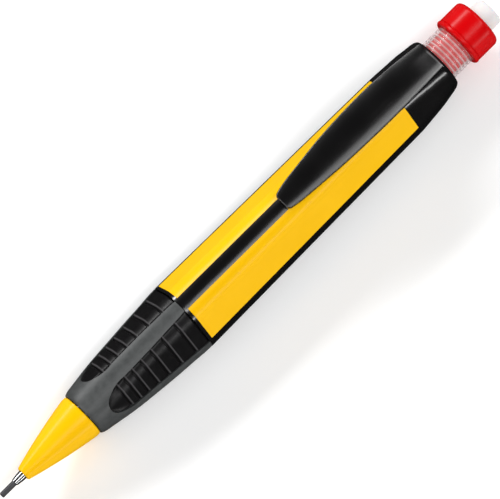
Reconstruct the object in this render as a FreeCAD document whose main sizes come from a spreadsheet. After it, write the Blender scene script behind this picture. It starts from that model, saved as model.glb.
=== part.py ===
import FreeCAD, Part
import os
import math
import Sketcher
from FreeCAD import Placement, Rotation, Vector

# Triangular mechanical pencil for a thick lead, with a twist-out eraser.
# Stations run along +X from the tip of the lead. Each sub-part is drawn about the pencil's axis, and its
# Placement puts the middle of the length over the origin and the flat underside on Z = 0.
# The clip's ridge is up (+Z), and one flat face of the barrel is down.

doc = FreeCAD.newDocument("mechanical_pencil")
sizes = doc.addObject("Spreadsheet::Sheet", "Sizes")

SIZES = {
    # stations along the axis
    "overall_length": 148,
    "lead_rear": 60,
    "sleeve_front": 3.95,
    "nose_front": 6.5,
    "nose_rear": 24.4,
    "grip_front": 24.6,
    "grip_rear": 54.5,
    "ring_front": 54.6,
    "barrel_front": 55.3,
    "barrel_rear": 118.7,
    "collar_front": 118.8,
    "collar_rear": 131.7,
    "tube_front": 118,
    "tube_rear": 137.4,
    "cap_front": 137.6,
    "cap_rear": 144.5,
    # rounded triangle of the barrel: distance of the three corner centres, and corner radius
    "barrel_spread": 3.72,
    "barrel_corner": 5.5,
    "barrel_taper": 0.913,
    "panel_thick": 0.7,
    "panel_gap": 0.04,
    "ridge_half": 1.65,
    "side_edge": 0.7,
    "under_half": 3.8,
    "under_trim": 0.02,
    # lead, tip and nose
    "lead_rad": 0.65,
    "lead_bore": 0.7,
    "tip_rad": 0.8,
    "tip_flare": 1.08,
    "shank_rad": 1.0,
    "shank_rear": 7.3,
    "nose_tip_rad": 1.7,
    "nose_rad": 5.3,
    "nose_straight": 1.1,
    "nose_bow": 150,
    "retainer_front": 7.4,
    "retainer_rear": 9.0,
    "retainer_rad": 1.35,
    # clutch
    "chuck_front": 13,
    "chuck_rear": 30,
    "chuck_head_rad": 1.75,
    "chuck_rad": 1.25,
    "slit_wide": 0.28,
    "slit_long": 8.5,
    "clutch_ring_front": 13.75,
    "clutch_ring_rear": 15.85,
    "clutch_ring_bore": 1.62,
    "clutch_ring_rad": 2.35,
    "seat_front": 16,
    "seat_rear": 27.4,
    "seat_rad": 2.62,
    "seat_bore": 2.2,
    "spring_front": 17.15,
    "spring_rear": 26.5,
    "spring_rad": 1.72,
    "spring_turns": 8,
    "wire_rad": 0.17,
    "coupler_front": 26.75,
    "coupler_rad": 2.12,
    "reservoir_front": 31.1,
    "reservoir_rear": 116,
    "reservoir_bore": 2.0,
    "reservoir_rad": 2.45,
    # core tubes and nose screw
    "neck_front": 18.2,
    "neck_rad": 3.5,
    "neck_bore": 2.65,
    "core_tube_rad": 4.5,
    "core_bore": 3.3,
    "rear_bore": 5.2,
    "spigot_rad": 5.75,
    "spigot_rear": 124,
    "screw_pitch": 1.25,
    "screw_start": 19.8,
    "screw_long": 3.9,
    # eraser end
    "tube_rad": 5,
    "tube_bore": 4.3,
    "thread_front": 122.9,
    "thread_pitch": 1,
    "thread_turns": 13.6,
    "thread_half": 0.34,
    "thread_floor_half": 0.3,
    "sleeve_out_rad": 4.15,
    "sleeve_bore": 3.45,
    "slot_wide": 0.6,
    "cap_rad": 6.05,
    "cap_body_rad": 5.95,
    "cap_round": 1.1,
    "eraser_rad": 3.35,
    "eraser_front": 128,
    "pin_rad": 1.2,
    "lug_rad": 0.2,
    "lug_reach": 4.5,
    "lip_front": 121.5,
    "lip_rear": 122.35,
    "lip_rad": 4.42,
    "slot_front": 123.2,
    "slot_rear": 137,
    "plug_front": 112,
    "plug_flange": 116.25,
    "carrier_front": 125.1,
    # clip
    "clip_thick": 0.95,
    "clip_crown": 0.65,
    "foot_front": 124.9,
    "foot_rear": 129.1,
    "foot_half": 2.3,
    "foot_floor": 6.2,
    "foot_top": 10.35,
    "bump_front": 86.2,
    "bump_rear": 88.8,
    "bump_half": 1.1,
    "bump_floor": 9.05,
    "tip_round": 0.6,
    "foot_gap": 0.3,
    # grip
    "grip_bore": 4.53,
    "pad_floor": 5.3,
    "pad_gap": 0.05,
    "pad_nose": 36,
    "pad_rear": 54.4,
    "rib_deep": 0.75,
    "rib_groove": 0.8,
}
for row, (name, number) in enumerate(SIZES.items(), start=1):
    sizes.set(f"A{row}", str(number))
    sizes.setAlias(f"A{row}", name)
doc.recompute()

RIB_GROOVES = [33.0, 35.3, 37.6, 40.3, 43.3, 46.8, 50.8]

# Sections of the grip and the collar: station, spread of the corner centres, corner radius.
# Both go from nearly round to the barrel's rounded triangle.
GRIP_SECTIONS = [
    (24.6, 0.25, 5.24), (25.2, 0.3, 5.5), (26.8, 0.5, 5.65), (30.0, 1.1, 5.64), (34.0, 2.0, 5.41),
    (38.0, 2.75, 5.14), (42.0, 3.2, 5.09), (46.0, 3.45, 5.18), (50.2, 3.6, 5.32), (54.5, 3.7, 5.45),
]
COLLAR_SECTIONS = [
    (118.8, 3.4, 5.02), (122.1, 2.9, 5.24), (124.7, 2.4, 5.47), (127.3, 1.8, 5.72), (129.9, 1.1, 5.92),
    (131.2, 0.6, 6.0), (131.7, 0.4, 5.85),
]
# Clip blade: station, height of the outer face's edges over the axis, width.
CLIP_SECTIONS = [
    (85.3, 10.5, 4.2), (88.5, 10.95, 5.5), (93.0, 11.45, 6.5), (100.0, 12.15, 7.8), (107.0, 12.5, 8.5),
    (113.0, 12.45, 8.75), (119.0, 12.1, 8.6), (125.0, 11.2, 8.05), (130.7, 9.8, 7.3),
]

subparts = []


def value(formula):
    """The number that an expression over the spreadsheet gives."""
    if isinstance(formula, (int, float)):
        return float(formula)
    return float(sizes.evalExpression(formula))


def bound(formula):
    """A formula over the aliases as an expression that other objects can hold."""
    if isinstance(formula, (int, float)):
        return str(formula)
    words = sorted(SIZES, key=len, reverse=True)
    for word in words:
        formula = formula.replace(word, f"<{words.index(word)}>")
    for index, word in enumerate(words):
        formula = formula.replace(f"<{index}>", f"Sizes.{word}")
    return formula


def new_body(name):
    body = doc.addObject("PartDesign::Body", name)
    doc.recompute()
    return body


def origin_plane(body, role):
    return next(f for f in body.Origin.OriginFeatures if f.Role == role)


def new_sketch(body, name, role, lift=0, turn=0):
    """A sketch on one of the body's own planes, turned about X and then lifted along its normal."""
    sketch = body.newObject("Sketcher::SketchObject", name)
    sketch.AttachmentSupport = [(origin_plane(body, role), "")]
    sketch.MapMode = "FlatFace"
    if turn:
        sketch.AttachmentOffset = Placement(Vector(0, 0, 0), Rotation(Vector(1, 0, 0), turn))
    if lift:
        normal = sketch.AttachmentOffset.Rotation.multVec(Vector(0, 0, 1))
        sketch.AttachmentOffset = Placement(normal * value(lift), sketch.AttachmentOffset.Rotation)
        if not turn:
            sketch.setExpression("AttachmentOffset.Base.z", bound(lift))
    return sketch


def fix(sketch, kind, geo, point, formula):
    """Hold one coordinate of a point at a formula, on whichever side of the origin it lies."""
    number = value(formula)
    if abs(number) < 1e-9:
        axis = -2 if kind == "DistanceX" else -1
        sketch.addConstraint(Sketcher.Constraint("PointOnObject", geo, point, axis))
        return
    if number > 0:
        index = sketch.addConstraint(Sketcher.Constraint(kind, -1, 1, geo, point, number))
        text = bound(formula)
    else:
        index = sketch.addConstraint(Sketcher.Constraint(kind, geo, point, -1, 1, -number))
        text = f"-({bound(formula)})"
    if isinstance(formula, str):
        sketch.setExpression(f"Constraints[{index}]", text)


def outline(sketch, points):
    """A closed outline of lines, run anticlockwise. A third value on a point makes the next edge an arc of
    that radius that bulges outward."""
    first = sketch.GeometryCount
    count = len(points)
    for k, point in enumerate(points):
        here = Vector(value(point[0]), value(point[1]), 0)
        after = points[(k + 1) % count]
        there = Vector(value(after[0]), value(after[1]), 0)
        if len(point) < 3:
            sketch.addGeometry(Part.LineSegment(here, there), False)
            continue
        radius = value(point[2])
        chord = there - here
        half = chord.Length / 2
        rise = radius - math.sqrt(max(radius * radius - half * half, 0))
        side = Vector(chord.y, -chord.x, 0).normalize()
        sketch.addGeometry(Part.Arc(here, here + chord * 0.5 + side * rise, there), False)
    ends = []
    for k, point in enumerate(points):
        geo = first + k
        start = Vector(value(point[0]), value(point[1]), 0)
        at_start = (sketch.getPoint(geo, 1) - start).Length < 1e-6
        ends.append((1, 2) if at_start else (2, 1))
    for k, point in enumerate(points):
        geo = first + k
        following = first + (k + 1) % count
        sketch.addConstraint(
            Sketcher.Constraint("Coincident", geo, ends[k][1], following, ends[(k + 1) % count][0])
        )
        fix(sketch, "DistanceX", geo, ends[k][0], point[0])
        fix(sketch, "DistanceY", geo, ends[k][0], point[1])
        if len(point) > 2:
            index = sketch.addConstraint(Sketcher.Constraint("Radius", geo, value(point[2])))
            if isinstance(point[2], str):
                sketch.setExpression(f"Constraints[{index}]", bound(point[2]))


def revolve(body, name, points, cut=False):
    """Turn an outline of (station, radius) points about the pencil's axis."""
    sketch = new_sketch(body, f"{name}_outline", "XZ_Plane")
    outline(sketch, points)
    doc.recompute()
    feature = body.newObject("PartDesign::Groove" if cut else "PartDesign::Revolution", name)
    feature.Profile = sketch
    feature.ReferenceAxis = (sketch, ["H_Axis"])
    feature.Angle = 360
    return feature


def turned(name, points):
    body = new_body(name)
    revolve(body, f"{name}_turned", points)
    return body


def helix(body, name, points, pitch, height, cut=False):
    """A thread of the given tooth outline, right-handed about the axis."""
    sketch = new_sketch(body, f"{name}_tooth", "XZ_Plane")
    outline(sketch, points)
    doc.recompute()
    feature = body.newObject("PartDesign::SubtractiveHelix" if cut else "PartDesign::AdditiveHelix", name)
    feature.Profile = sketch
    feature.ReferenceAxis = (sketch, ["H_Axis"])
    feature.Mode = "pitch-height-angle"
    feature.Pitch = value(pitch)
    feature.Height = value(height)
    feature.setExpression("Pitch", bound(pitch))
    feature.setExpression("Height", bound(height))
    return feature


def rounded_triangle(body, name, station, spread, corner):
    """Three corner arcs joined by three straight sides, one corner up."""
    sketch = new_sketch(body, name, "YZ_Plane", lift=station)
    reach = value(spread)
    radius = value(corner)
    middles = []
    for angle in (90, 210, 330):
        turn = math.radians(angle)
        middles.append(Vector(reach * math.cos(turn), reach * math.sin(turn), 0))
    for k, angle in enumerate((90, 210, 330)):
        circle = Part.Circle(middles[k], Vector(0, 0, 1), radius)
        sketch.addGeometry(
            Part.ArcOfCircle(circle, math.radians(angle - 60), math.radians(angle + 60)), False
        )
    for k in range(3):
        start = sketch.getPoint(k, 2)
        stop = sketch.getPoint((k + 1) % 3, 1)
        sketch.addGeometry(Part.LineSegment(start, stop), False)
    for k in range(3):
        sketch.addConstraint(Sketcher.Constraint("Tangent", k, 2, 3 + k, 1))
        sketch.addConstraint(Sketcher.Constraint("Tangent", 3 + k, 2, (k + 1) % 3, 1))
    across = f"({spread}) * cos(30 deg)"
    below = f"-({spread}) * sin(30 deg)"
    places = [(0, f"({spread})"), (f"-{across}", below), (across, below)]
    for k, (sideways, upward) in enumerate(places):
        index = sketch.addConstraint(Sketcher.Constraint("Radius", k, radius))
        sketch.setExpression(f"Constraints[{index}]", bound(corner))
        fix(sketch, "DistanceX", k, 3, sideways)
        fix(sketch, "DistanceY", k, 3, upward)
    return sketch


def loft(body, name, sections, cut=False, ruled=False):
    feature = body.newObject("PartDesign::SubtractiveLoft" if cut else "PartDesign::AdditiveLoft", name)
    feature.Profile = sections[0]
    feature.Sections = sections[1:]
    feature.Ruled = ruled
    return feature


def pocket(body, name, sketch, length=None, reverse=False, both=False):
    feature = body.newObject("PartDesign::Pocket", name)
    feature.Profile = sketch
    feature.Type = "ThroughAll" if length is None else "Length"
    if length is not None:
        feature.Length = value(length)
        feature.setExpression("Length", bound(length))
    feature.Reversed = reverse
    feature.Midplane = both
    return feature


def finish(item, name=None):
    """Label a sub-part and put it in the pencil's frame."""
    if name:
        item.Label = name
    item.setExpression("Placement.Base.x", "-Sizes.overall_length / 2")
    item.setExpression("Placement.Base.z", "Sizes.barrel_spread / 2 + Sizes.barrel_corner")
    subparts.append(item)



def lead():
    finish(turned("lead", [
        (0, 0), ("lead_rear", 0), ("lead_rear", "lead_rad"), (0.2, "lead_rad"), (0, "lead_rad - 0.15"),
    ]))


def tip_sleeve():
    """Bullet-shaped tube that holds up the lead; its shank sits in the nose cone."""
    finish(turned("tip_sleeve", [
        ("sleeve_front", "lead_bore"), ("shank_rear", "lead_bore"), ("shank_rear", "shank_rad"),
        ("nose_front", "shank_rad"), ("nose_front - 0.04", "tip_flare", 14),
        ("sleeve_front + 0.06", "tip_rad"), ("sleeve_front", "tip_rad - 0.05"),
    ]))


def lead_retainer():
    finish(turned("lead_retainer", [
        ("retainer_front", "lead_bore"), ("retainer_rear", "lead_bore"),
        ("retainer_rear", "retainer_rad"), ("retainer_front", "retainer_rad"),
    ]))


def nose_cone():
    """Bowed cone, stepped inside for the retainer, clutch ring and seat, and threaded at the rear."""
    body = turned("nose_cone", [
        ("nose_front", "shank_rad + 0.02"), ("retainer_front - 0.03", "shank_rad + 0.02"),
        ("retainer_front - 0.03", "retainer_rad + 0.03"), ("retainer_rear + 0.1", "retainer_rad + 0.03"),
        ("retainer_rear + 0.1", "chuck_head_rad + 0.25"),
        ("clutch_ring_front - 1.3", "chuck_head_rad + 0.25"),
        ("clutch_ring_front - 1.3", "clutch_ring_rad + 0.15"),
        ("clutch_ring_rear + 0.05", "clutch_ring_rad + 0.15"),
        ("clutch_ring_rear + 0.05", "seat_rad + 0.23"),
        ("neck_front - 0.3", "seat_rad + 0.23"), ("neck_front - 0.3", "neck_rad + 0.15"),
        ("nose_rear", "neck_rad + 0.15"), ("nose_rear", "nose_rad - 0.2"), ("nose_rear - 0.2", "nose_rad"),
        ("nose_rear - nose_straight", "nose_rad", "nose_bow"), ("nose_front + 0.2", "nose_tip_rad"),
        ("nose_front", "nose_tip_rad - 0.2"),
    ])
    helix(body, "nose_thread", [
        ("screw_start - screw_pitch - 0.46", "neck_rad + 0.1"),
        ("screw_start - screw_pitch + 0.46", "neck_rad + 0.1"),
        ("screw_start - screw_pitch + 0.28", "neck_rad + 0.5"),
        ("screw_start - screw_pitch - 0.28", "neck_rad + 0.5"),
    ], "screw_pitch", "nose_rear - screw_start + screw_pitch + 1", cut=True)
    finish(body)


def chuck():
    """Brass collet: a tapered head and shank split into three jaws."""
    body = turned("chuck", [
        ("chuck_front", "lead_bore"), ("chuck_rear", "lead_bore"), ("chuck_rear", "chuck_rad"),
        ("chuck_front + 2.3", "chuck_rad"), ("chuck_front + 0.7", "chuck_head_rad - 0.2"),
        ("chuck_front + 0.45", "chuck_head_rad"), ("chuck_front + 0.15", "chuck_head_rad"),
        ("chuck_front", "chuck_head_rad - 0.15"),
    ])
    sketch = new_sketch(body, "slit_outline", "YZ_Plane", lift="chuck_front - 0.1")
    outline(sketch, [
        ("-slit_wide / 2", "lead_bore / 2"), ("slit_wide / 2", "lead_bore / 2"),
        ("slit_wide / 2", "chuck_head_rad + 0.5"), ("-slit_wide / 2", "chuck_head_rad + 0.5"),
    ])
    doc.recompute()
    slit = pocket(body, "slit", sketch, length="slit_long", reverse=True)
    slits = body.newObject("PartDesign::PolarPattern", "slits")
    slits.Originals = [slit]
    slits.Axis = (sketch, ["N_Axis"])
    slits.Angle = 360
    slits.Occurrences = 3
    body.Tip = slits
    finish(body)


def clutch_ring():
    finish(turned("clutch_ring", [
        ("clutch_ring_front", "clutch_ring_bore + 0.1"), ("clutch_ring_front + 0.1", "clutch_ring_bore"),
        ("clutch_ring_rear", "clutch_ring_bore"), ("clutch_ring_rear", "clutch_ring_rad"),
        ("clutch_ring_front + 0.15", "clutch_ring_rad"), ("clutch_ring_front", "clutch_ring_rad - 0.15"),
    ]))


def clutch_sleeve():
    """Seat of the clutch ring, with the spring inside it."""
    finish(turned("clutch_sleeve", [
        ("seat_front", "chuck_rad + 0.2"), ("seat_front + 1", "chuck_rad + 0.2"),
        ("seat_front + 1", "seat_bore"), ("seat_rear", "seat_bore"), ("seat_rear", "seat_rad"),
        ("seat_front", "seat_rad"),
    ]))


def return_spring():
    body = new_body("return_spring")
    sketch = new_sketch(body, "wire_outline", "XZ_Plane")
    middle = Vector(value("spring_front + wire_rad"), value("spring_rad"), 0)
    sketch.addGeometry(Part.Circle(middle, Vector(0, 0, 1), value("wire_rad")), False)
    fix(sketch, "DistanceX", 0, 3, "spring_front + wire_rad")
    fix(sketch, "DistanceY", 0, 3, "spring_rad")
    index = sketch.addConstraint(Sketcher.Constraint("Radius", 0, value("wire_rad")))
    sketch.setExpression(f"Constraints[{index}]", bound("wire_rad"))
    doc.recompute()
    coil = body.newObject("PartDesign::AdditiveHelix", "coil")
    coil.Profile = sketch
    coil.ReferenceAxis = (sketch, ["H_Axis"])
    coil.Mode = "height-turns-angle"
    coil.Height = value("spring_rear - spring_front - 2 * wire_rad")
    coil.Turns = value("spring_turns")
    coil.setExpression("Height", bound("spring_rear - spring_front - 2 * wire_rad"))
    coil.setExpression("Turns", bound("spring_turns"))
    finish(body)


def chuck_coupler():
    """Bush that joins the chuck to the reservoir; the spring pushes on its front."""
    finish(turned("chuck_coupler", [
        ("coupler_front", "chuck_rad + 0.02"), ("chuck_rear + 0.05", "chuck_rad + 0.02"),
        ("chuck_rear + 0.05", "lead_bore + 0.05"), ("reservoir_front + 4", "lead_bore + 0.05"),
        ("reservoir_front + 4", "reservoir_bore - 0.03"),
        ("reservoir_front - 0.05", "reservoir_bore - 0.03"),
        ("reservoir_front - 0.05", "coupler_rad"), ("coupler_front", "coupler_rad"),
    ]))


def lead_reservoir():
    finish(turned("lead_reservoir", [
        ("reservoir_front", "reservoir_bore"), ("reservoir_rear", "reservoir_bore"),
        ("reservoir_rear", "reservoir_rad"), ("reservoir_front", "reservoir_rad"),
    ]))


def refill_plug():
    """Stopper on the front of the eraser tube that closes the reservoir."""
    finish(turned("refill_plug", [
        ("plug_front", 0), ("tube_front + 2.6", 0), ("tube_front + 2.6", "tube_bore - 0.04"),
        ("tube_front - 0.05", "tube_bore - 0.04"), ("tube_front - 0.05", "tube_rad - 0.1"),
        ("plug_flange", "tube_rad - 0.1"), ("plug_flange", "reservoir_bore - 0.05"),
        ("plug_front + 0.5", "reservoir_bore - 0.05"), ("plug_front", "reservoir_bore - 0.4"),
    ]))


def eraser_tube():
    """Clear tube with a snap groove for the cap's lip and a screw thread for the carrier's lugs."""
    body = turned("eraser_tube", [
        ("tube_front", "tube_bore"), ("lip_front - 0.2", "tube_bore"),
        ("lip_front - 0.2", "lip_rad + 0.15"),
        ("lip_rear + 0.15", "lip_rad + 0.15"), ("lip_rear + 0.15", "tube_bore"), ("tube_rear", "tube_bore"),
        ("tube_rear", "tube_rad - 0.12"), ("tube_rear - 0.12", "tube_rad"), ("tube_front", "tube_rad"),
    ])
    helix(body, "lug_thread", [
        ("thread_front - thread_half", "tube_bore - 0.1"),
        ("thread_front + thread_half", "tube_bore - 0.1"),
        ("thread_front + thread_floor_half", "lug_reach + 0.15"),
        ("thread_front - thread_floor_half", "lug_reach + 0.15"),
    ], "thread_pitch", "thread_pitch * thread_turns", cut=True)
    finish(body)


def twist_cap():
    """Knob with a rounded bead at its front, and a long inner sleeve with two slots for the lugs."""
    body = turned("twist_cap", [
        ("lip_front", "sleeve_bore"), ("cap_rear - 0.2", "sleeve_bore"), ("cap_rear", "sleeve_bore + 0.2"),
        ("cap_rear", "cap_body_rad - cap_round", "cap_round"), ("cap_rear - cap_round", "cap_body_rad"),
        ("cap_front + 1.2", "cap_body_rad"), ("cap_front + 1.1", "cap_rad - 0.25"),
        ("cap_front + 1.05", "cap_rad - 0.25", 0.62), ("cap_front + 0.05", "cap_rad - 0.25"),
        ("cap_front", "cap_rad - 0.3"), ("cap_front", "sleeve_out_rad"), ("lip_rear", "sleeve_out_rad"),
        ("lip_rear", "lip_rad"), ("lip_front", "lip_rad"),
    ])
    sketch = new_sketch(body, "slot_outline", "XZ_Plane")
    outline(sketch, [
        ("slot_front", "-slot_wide / 2"), ("slot_rear", "-slot_wide / 2"),
        ("slot_rear", "slot_wide / 2"), ("slot_front", "slot_wide / 2"),
    ])
    doc.recompute()
    pocket(body, "slots", sketch, both=True)
    finish(body)


def eraser():
    finish(turned("eraser", [
        ("eraser_front", "pin_rad + 0.03"), ("eraser_front + 4.2", "pin_rad + 0.03"),
        ("eraser_front + 4.2", 0), ("overall_length", 0), ("overall_length", "eraser_rad - 0.7", 0.7),
        ("overall_length - 0.7", "eraser_rad"), ("eraser_front", "eraser_rad"),
    ]))


def eraser_carrier():
    """Disc and pin that hold the eraser, with two lugs half a thread apart."""
    body = turned("eraser_carrier", [
        ("carrier_front", 0), ("eraser_front + 4", 0), ("eraser_front + 4", "pin_rad"),
        ("eraser_front - 0.05", "pin_rad"), ("eraser_front - 0.05", "eraser_rad"),
        ("carrier_front", "eraser_rad"),
    ])
    for name, turns, turned_over in (("right_lug", 3.25, False), ("left_lug", 3.75, True)):
        station = f"thread_front + thread_pitch * {turns}"
        sketch = new_sketch(body, f"{name}_outline", "XZ_Plane")
        sketch.addGeometry(
            Part.Circle(Vector(value(station), 0, 0), Vector(0, 0, 1), value("lug_rad")), False
        )
        fix(sketch, "DistanceX", 0, 3, station)
        fix(sketch, "DistanceY", 0, 3, 0)
        index = sketch.addConstraint(Sketcher.Constraint("Radius", 0, value("lug_rad")))
        sketch.setExpression(f"Constraints[{index}]", bound("lug_rad"))
        doc.recompute()
        lug = body.newObject("PartDesign::Pad", name)
        lug.Profile = sketch
        lug.Length = value("lug_reach")
        lug.setExpression("Length", bound("lug_reach"))
        lug.Reversed = turned_over
    finish(body)


def taper(station):
    """Share of the barrel's full size at a station, falling evenly to the rear."""
    return f"(1 - (1 - barrel_taper) * ({station} - ring_front) / (barrel_rear - ring_front))"


def barrel_loft(body, name, front, rear, grow="0", cut=False):
    """The barrel's tapered rounded triangle between two stations, its skin moved out by grow."""
    sections = []
    for end, station in (("front", front), ("rear", rear)):
        share = taper(station)
        sections.append(rounded_triangle(
            body, f"{name}_{end}", station, f"barrel_spread * {share}", f"barrel_corner * {share} + {grow}"
        ))
    doc.recompute()
    return loft(body, name, sections, cut=cut, ruled=True)


def keep_window(body, name, points, turn=0, role="YZ_Plane"):
    """Cut away all that lies outside an outline, right through the body."""
    sketch = new_sketch(body, f"{name}_outline", role, turn=turn)
    reach = 200 if role == "XY_Plane" else 30
    outline(sketch, [(-reach, -30), (reach, -30), (reach, 30), (-reach, 30)])
    outline(sketch, points)
    doc.recompute()
    return pocket(body, name, sketch, both=True)


def panel_window(side, gap="0"):
    """Edges of a barrel panel across the axis: from beside the ridge to the lower corner, or underneath."""
    if side == "under":
        return [
            (f"-under_half - {gap}", -25), (f"under_half + {gap}", -25), (f"under_half + {gap}", -3),
            (f"-under_half - {gap}", -3),
        ]
    if side == "left":
        return [
            (f"ridge_half - {gap}", f"side_edge - {gap}"), (25, f"side_edge - {gap}"), (25, 25),
            (f"ridge_half - {gap}", 25),
        ]
    return [
        (-25, f"side_edge - {gap}"), (f"-ridge_half + {gap}", f"side_edge - {gap}"),
        (f"-ridge_half + {gap}", 25), (-25, 25),
    ]


def under_line(station):
    """Height of the flat underside at a station, a hair inside the barrel's skin."""
    return f"-(barrel_spread / 2 + barrel_corner) * {taper(station)} + under_trim"


def panel(side):
    body = new_body(f"panel_{side}")
    front = "(barrel_front + panel_gap)"
    rear = "(barrel_rear - panel_gap)"
    barrel_loft(body, f"{side}_skin", front, rear)
    barrel_loft(body, f"{side}_back", front, rear, grow="-panel_thick", cut=True)
    keep_window(body, f"{side}_trim", panel_window(side))
    if side == "under":
        flat = new_sketch(body, "flat_outline", "XZ_Plane")
        outline(flat, [
            (front, -20), (rear, -20), (rear, under_line(rear)), (front, under_line(front)),
        ])
        doc.recompute()
        pocket(body, "flat_underside", flat, both=True)
    finish(body)


def panel_seat(side):
    """The recess in the barrel core that a panel lies in."""
    body = new_body(f"seat_{side}")
    rear = "(barrel_rear + 1)"
    barrel_loft(body, f"{side}_seat_outer", "barrel_front", rear, grow="0.6")
    floor = "-(panel_thick + panel_gap)"
    barrel_loft(body, f"{side}_seat_floor", "barrel_front", rear, grow=floor, cut=True)
    keep_window(body, f"{side}_seat_trim", panel_window(side, gap="panel_gap"))
    return body


def barrel_core():
    """Black barrel: the threaded neck, the tube under the grip, the triangular body and the rear spigot."""
    body = new_body("barrel_blank")
    barrel_loft(body, "barrel_skin", "ring_front", "barrel_rear")
    revolve(body, "front_tube", [
        ("neck_front", 0), ("barrel_front + 1", 0), ("barrel_front + 1", "core_tube_rad"),
        ("grip_front + 0.05", "core_tube_rad"), ("grip_front + 0.05", "neck_rad"),
        ("neck_front", "neck_rad"),
    ])
    revolve(body, "rear_spigot", [
        ("barrel_rear - 2", 0), ("spigot_rear", 0), ("spigot_rear", "spigot_rad - 0.2"),
        ("spigot_rear - 0.2", "spigot_rad"), ("barrel_rear - 2", "spigot_rad"),
    ])
    key = new_sketch(body, "key_outline", "XY_Plane", lift="core_tube_rad - 0.2")
    outline(key, [("grip_rear - 9", -0.8), ("ring_front + 1", -0.8), ("ring_front + 1", 0.8),
                  ("grip_rear - 9", 0.8)])
    doc.recompute()
    rib = body.newObject("PartDesign::Pad", "grip_key")
    rib.Profile = key
    rib.Length = 0.8
    revolve(body, "bore", [
        ("neck_front - 1", 0), ("spigot_rear + 1", 0), ("spigot_rear + 1", "rear_bore"),
        ("barrel_front + 3", "rear_bore"), ("barrel_front - 1", "core_bore"),
        ("seat_rear + 0.2", "core_bore"), ("seat_rear + 0.2", "neck_bore"), ("neck_front - 1", "neck_bore"),
    ], cut=True)
    helix(body, "neck_thread", [
        ("screw_start - 0.31", "neck_rad - 0.05"), ("screw_start + 0.31", "neck_rad - 0.05"),
        ("screw_start + 0.17", "neck_rad + 0.35"), ("screw_start - 0.17", "neck_rad + 0.35"),
    ], "screw_pitch", "screw_long")
    seats = doc.addObject("Part::MultiFuse", "panel_seats")
    seats.Shapes = [panel_seat(side) for side in ("left", "right", "under")]
    core = doc.addObject("Part::Cut", "barrel_core")
    core.Base = body
    core.Tool = seats
    finish(core)


def skin_sections(body, name, table, shrink=0):
    sketches = []
    for k, (station, spread, corner) in enumerate(table):
        sketches.append(rounded_triangle(body, f"{name}_{k}", station, spread, corner - shrink))
    doc.recompute()
    return sketches


# Finger pads: lean of each pad's face about the axis, and the low and high edges of its outline across
# the face, at the rear and where the nose curve begins.
PADS = {
    "right": (52, (-4.9, 6.15), (-3.4, 4.5)),
    "left": (-52, (-6.15, 4.9), (-4.5, 3.4)),
    "under": (180, (-5.0, 5.0), (-3.9, 3.9)),
}


def pad_outline(side, gap=0, rear="pad_rear"):
    lean, rear_edges, nose_edges = PADS[side]
    half = (nose_edges[1] - nose_edges[0]) / 2 + gap
    middle = (nose_edges[1] + nose_edges[0]) / 2
    shoulder = 0.7 * half
    nose_rad = (shoulder ** 2 + 2 ** 2) / (2 * 2)
    return [
        (rear, rear_edges[0] - gap), (rear, rear_edges[1] + gap),
        ("pad_nose", middle + half, 9), (f"pad_nose - 5 - {gap}", middle + shoulder, nose_rad),
        (f"pad_nose - 5 - {gap}", middle - shoulder, 9), ("pad_nose", middle - half),
    ]


def grip_shell():
    """Charcoal grip with three recesses for the finger pads and a keyway inside."""
    body = new_body("grip_shell")
    loft(body, "grip_skin", skin_sections(body, "grip_section", GRIP_SECTIONS))
    revolve(body, "grip_bore_cut", [
        ("grip_front - 1", 0), ("grip_rear + 1", 0), ("grip_rear + 1", "grip_bore"),
        ("grip_front - 1", "grip_bore"),
    ], cut=True)
    for side, (lean, _, _) in PADS.items():
        sketch = new_sketch(body, f"recess_{side}_outline", "XY_Plane", lift="pad_floor", turn=lean)
        outline(sketch, pad_outline(side, value("pad_gap"), rear="grip_rear + 0.5"))
        doc.recompute()
        pocket(body, f"recess_{side}", sketch, reverse=True)
    keyway = new_sketch(body, "keyway_outline", "XY_Plane")
    outline(keyway, [("grip_rear - 9.1", -0.85), ("grip_rear + 1", -0.85), ("grip_rear + 1", 0.85),
                     ("grip_rear - 9.1", 0.85)])
    doc.recompute()
    pocket(body, "keyway", keyway, length="core_tube_rad + 0.7", reverse=True)
    finish(body)


def finger_pad(side):
    """Rubber pad, flat behind and curved in front, with ribs across it."""
    lean = PADS[side][0]
    blank = new_body(f"pad_blank_{side}")
    loft(blank, f"pad_skin_{side}", skin_sections(blank, f"pad_section_{side}", GRIP_SECTIONS, 0.05))
    keep_window(blank, f"pad_trim_{side}", pad_outline(side), turn=lean, role="XY_Plane")
    back = new_sketch(blank, f"pad_back_{side}_outline", "XY_Plane", lift="pad_floor + pad_gap", turn=lean)
    outline(back, [(0, -30), (200, -30), (200, 30), (0, 30)])
    doc.recompute()
    pocket(blank, f"pad_back_{side}", back)
    web = new_body(f"pad_web_{side}")
    loft(web, f"web_{side}", skin_sections(web, f"web_section_{side}", GRIP_SECTIONS, value("rib_deep")))
    slabs = []
    for k, station in enumerate(RIB_GROOVES):
        slab = doc.addObject("Part::Box", f"groove_{side}_{k}")
        slab.setExpression("Length", "Sizes.rib_groove")
        slab.Width = 30
        slab.Height = 30
        slab.setExpression("Placement.Base.x", f"{station} - Sizes.rib_groove / 2")
        slab.Placement.Base = Vector(station, -15, -15)
        slabs.append(slab)
    bars = doc.addObject("Part::MultiFuse", f"groove_bars_{side}")
    bars.Shapes = slabs
    grooves = doc.addObject("Part::Cut", f"grooves_{side}")
    grooves.Base = bars
    grooves.Tool = web
    pad = doc.addObject("Part::Cut", f"finger_pad_{side}")
    pad.Base = blank
    pad.Tool = grooves
    finish(pad)


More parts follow.
